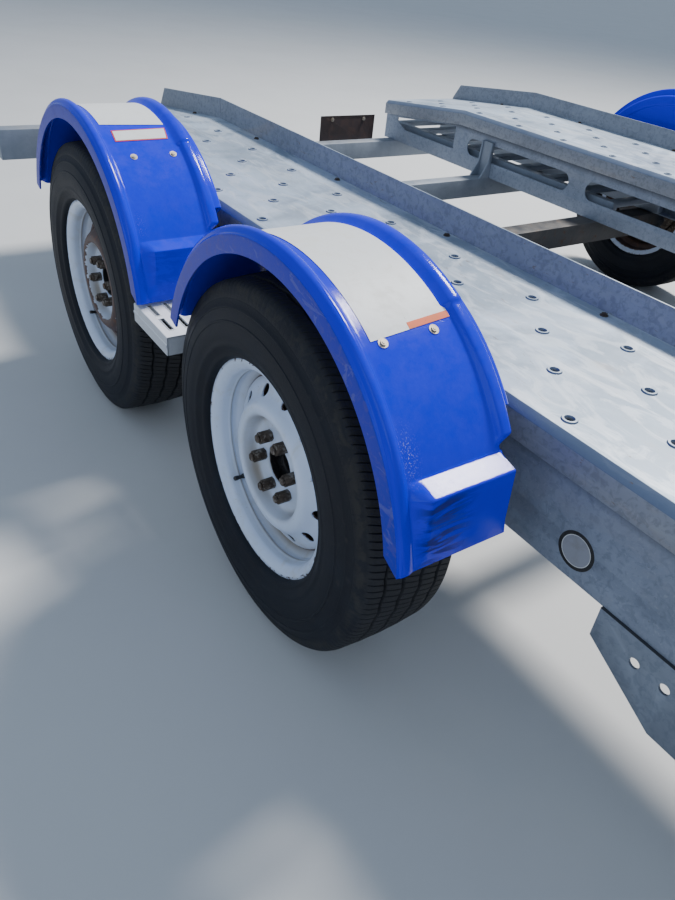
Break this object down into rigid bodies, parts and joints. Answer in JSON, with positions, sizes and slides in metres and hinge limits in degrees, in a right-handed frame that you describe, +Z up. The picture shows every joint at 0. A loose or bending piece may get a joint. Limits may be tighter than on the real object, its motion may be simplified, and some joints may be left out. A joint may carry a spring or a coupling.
{
  "type": "two-runway tandem-axle car transporter trailer",
  "caption": "Open car transporter trailer: two galvanised sheet runways on crossmembers, tandem torsion axles, moulded blue mudguards, drawbar with ball coupler and parking jack.",
  "frame": {"origin": "middle of the overall length and width, on the ground under the tyres", "axes": "+X forward to the coupler, +Y to the left, +Z up"},
  "size_m": [5.326, 2.59, 0.804],
  "materials": {
    "bare_aluminium": "slotted serrated plate",
    "blue_plastic": "royal-blue moulded plastic, glossy, scuffed",
    "brown_plate": "brown-black blank plate",
    "dark_steel": "dark weathered steel",
    "galvanised": "hot-dip galvanised, mottled and weathered",
    "red_lens": "red lamp lens",
    "rusty_iron": "rusty brown drum, studs and nuts",
    "tyre": "black rubber",
    "white_paint": "white wheel paint, chipped and grimy"
  },
  "bodies": {
    "chassis": {"beam_gussets": "galvanised", "coupler": "dark_steel", "crossmember_middle": "galvanised", "crossmember_nose": "galvanised", "crossmember_rear": "galvanised", "drawbar_leg_left": "galvanised", "drawbar_leg_right": "galvanised", "front_beam": "galvanised", "jack_handle": "dark_steel", "jack_tube": "galvanised", "lamp_boxes": "galvanised", "loading_ramp_left": "galvanised", "loading_ramp_right": "galvanised", "mudguard_brackets": "galvanised", "mudguard_front_left": "blue_plastic", "mudguard_front_right": "blue_plastic", "mudguard_rear_left": "blue_plastic", "mudguard_rear_right": "blue_plastic", "plate_bracket": "brown_plate", "rib_brackets": "galvanised", "rolled_edge_web_left": "galvanised", "rolled_edge_web_right": "galvanised", "runway_deck_left": "galvanised", "runway_deck_right": "galvanised", "step_plate_left": "bare_aluminium", "step_plate_right": "bare_aluminium", "tail_lamps": "red_lens", "torsion_axle_front": "dark_steel", "torsion_axle_rear": "dark_steel", "upstand_web_left": "galvanised", "upstand_web_right": "galvanised", "wheel_stops": "galvanised"},
    "wheel_front_right": {"tyre_front_right": "tyre", "rim_front_right": "white_paint", "hub_front_right": "rusty_iron"},
    "wheel_front_left": {"tyre_front_left": "tyre", "rim_front_left": "white_paint", "hub_front_left": "rusty_iron"},
    "wheel_rear_right": {"tyre_rear_right": "tyre", "rim_rear_right": "white_paint", "hub_rear_right": "rusty_iron"},
    "wheel_rear_left": {"tyre_rear_left": "tyre", "rim_rear_left": "white_paint", "hub_rear_left": "rusty_iron"},
    "jack_leg": {"jack_leg": "galvanised"}
  },
  "joints": [
    {"name": "wheel_front_right_spin", "type": "hinge", "parent": "chassis", "child": "wheel_front_right", "pos_m": [-0.527, -1.1775, 0.35], "axis": [0, 1, 0], "continuous": true},
    {"name": "wheel_front_left_spin", "type": "hinge", "parent": "chassis", "child": "wheel_front_left", "pos_m": [-0.527, 1.1775, 0.35], "axis": [0, 1, 0], "continuous": true},
    {"name": "wheel_rear_right_spin", "type": "hinge", "parent": "chassis", "child": "wheel_rear_right", "pos_m": [-1.457, -1.1775, 0.35], "axis": [0, 1, 0], "continuous": true},
    {"name": "wheel_rear_left_spin", "type": "hinge", "parent": "chassis", "child": "wheel_rear_left", "pos_m": [-1.457, 1.1775, 0.35], "axis": [0, 1, 0], "continuous": true},
    {"name": "jack_lift", "type": "slide", "parent": "chassis", "child": "jack_leg", "axis": [0, 0, 1], "range_m": [0, 0.2]}
  ]
}
